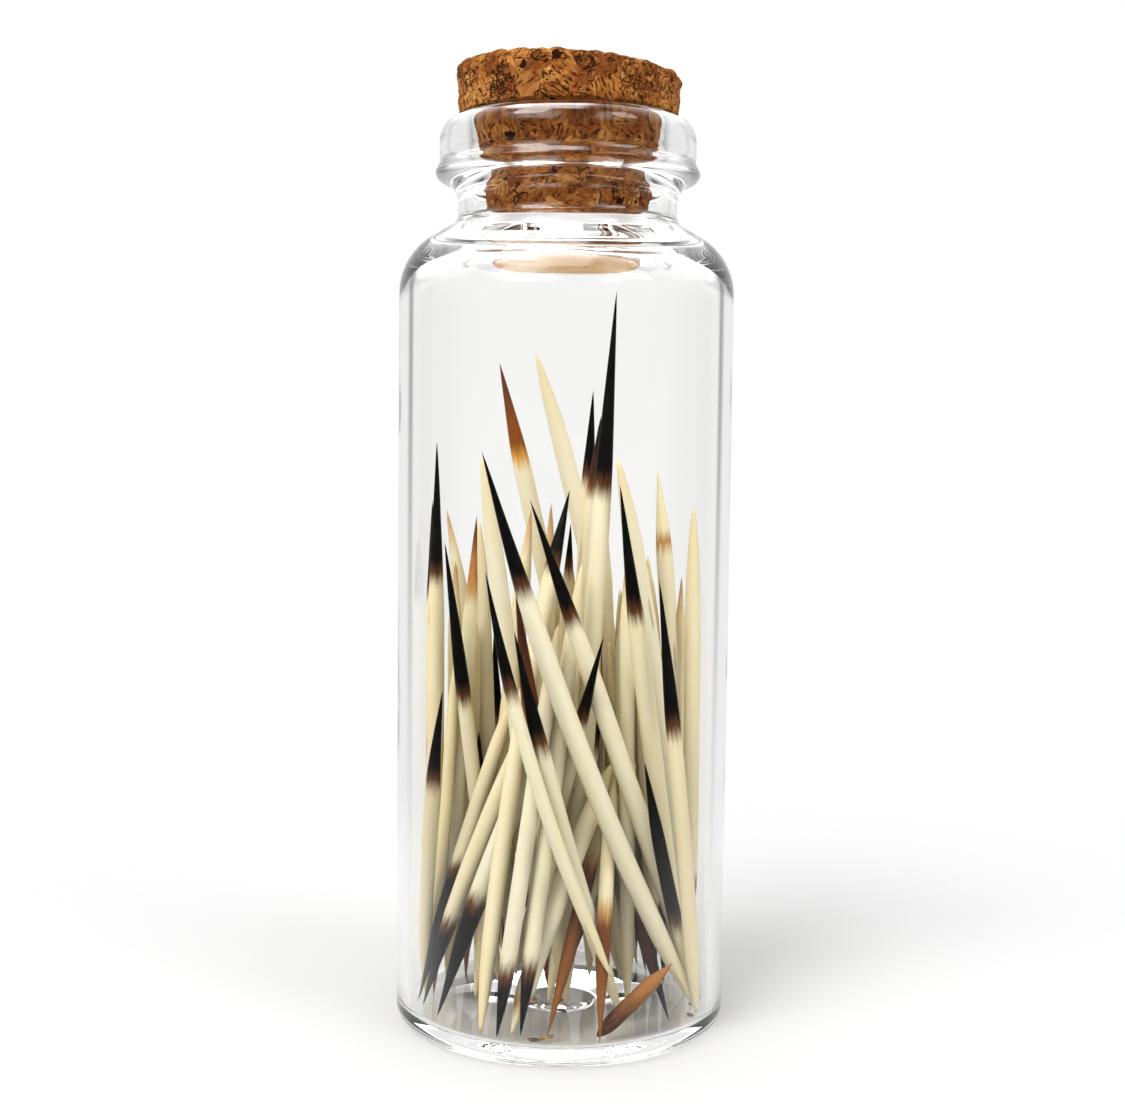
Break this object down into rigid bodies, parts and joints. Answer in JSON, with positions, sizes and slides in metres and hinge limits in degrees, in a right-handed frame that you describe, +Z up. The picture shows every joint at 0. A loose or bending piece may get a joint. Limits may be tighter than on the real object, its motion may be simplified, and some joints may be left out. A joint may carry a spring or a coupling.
{
  "type": "corked jar of porcupine quills",
  "caption": "Loose porcupine quills standing in a small round glass jar that a cork stopper closes.",
  "frame": {"origin": "middle of the jar's flat underside", "axes": "+Z up along the jar's axis, -Y towards the picture's viewer, +X to that viewer's right"},
  "size_m": [0.037, 0.037, 0.1061],
  "materials": {
    "glass": "clear and polished",
    "cork": "matt pressed cork chips",
    "quill": "smooth half-gloss keratin"
  },
  "bodies": {
    "root": {"glass_jar": "glass", "cork": "cork", "quill_tall": "quill", "quill_front_long": "quill", "quill_front_second": "quill", "quill_front_fourth": "quill", "quill_front_third": "quill", "quill_left_black": "quill", "quill_right_broad": "quill", "quill_high_amber": "quill", "quill_high_pale": "quill", "quill_tall_twin": "quill", "quill_left_sweep": "quill", "quill_left_broad": "quill", "quill_right_black": "quill", "quill_right_spike": "quill", "quill_right_pale": "quill", "quill_right_amber": "quill", "quill_right_edge": "quill", "quill_left_amber": "quill", "quill_middle_front_pale": "quill", "quill_middle_brown": "quill", "quill_middle_crossing": "quill", "quill_middle_black": "quill", "quill_left_sliver": "quill", "quill_left_stump": "quill", "quill_left_edge": "quill", "quill_broken_stub": "quill", "quill_foot_amber_left": "quill", "quill_foot_amber_right": "quill", "quill_foot_front_left": "quill", "quill_foot_front_right": "quill", "quill_front_crossing": "quill", "quill_left_leaning": "quill", "quill_left_sweep_twin": "quill", "quill_foot_brown": "quill", "quill_foot_root": "quill", "quill_left_pale": "quill", "quill_left_grey": "quill", "quill_middle_tan": "quill", "quill_middle_dark": "quill", "quill_high_sliver": "quill", "quill_middle_pink": "quill", "quill_middle_grey": "quill", "quill_middle_upright": "quill", "quill_middle_upright_twin": "quill", "quill_right_filler": "quill", "quill_right_filler_twin": "quill", "quill_left_hidden": "quill", "quill_left_leaning_twin": "quill", "quill_left_thin_foot": "quill", "quill_foot_needle": "quill", "quill_foot_back_right": "quill", "quill_foot_back_right_twin": "quill", "quill_foot_back_left": "quill", "quill_foot_back_left_twin": "quill", "quill_foot_back_leaning": "quill", "quill_inner_needle": "quill", "quill_inner_brown": "quill", "quill_back_tan": "quill"}
  },
  "joints": []
}
